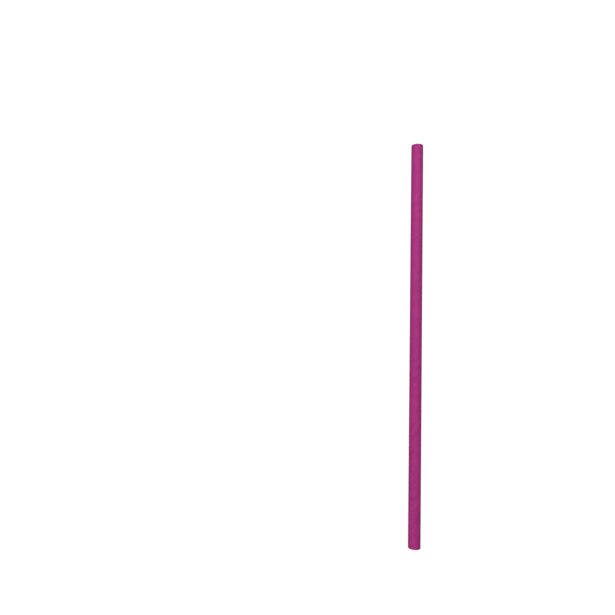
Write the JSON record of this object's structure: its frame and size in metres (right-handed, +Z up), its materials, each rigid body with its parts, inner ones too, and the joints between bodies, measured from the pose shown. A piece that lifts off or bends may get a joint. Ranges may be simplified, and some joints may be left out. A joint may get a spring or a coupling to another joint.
{
  "type": "paper drinking straw",
  "caption": "Straight paper drinking straw: a thin spiral-wound tube of coloured paper with square-cut open ends, lying on its side.",
  "frame": {"origin": "under the middle of the straw, on the surface that it lies on", "axes": "+Y along the straw towards the end that is furthest up in the picture, +Z up from the surface, +X across"},
  "size_m": [0.006, 0.2, 0.0059],
  "materials": {
    "coloured_paper": "matte"
  },
  "bodies": {
    "root": {"paper_tube": "coloured_paper"}
  },
  "joints": []
}
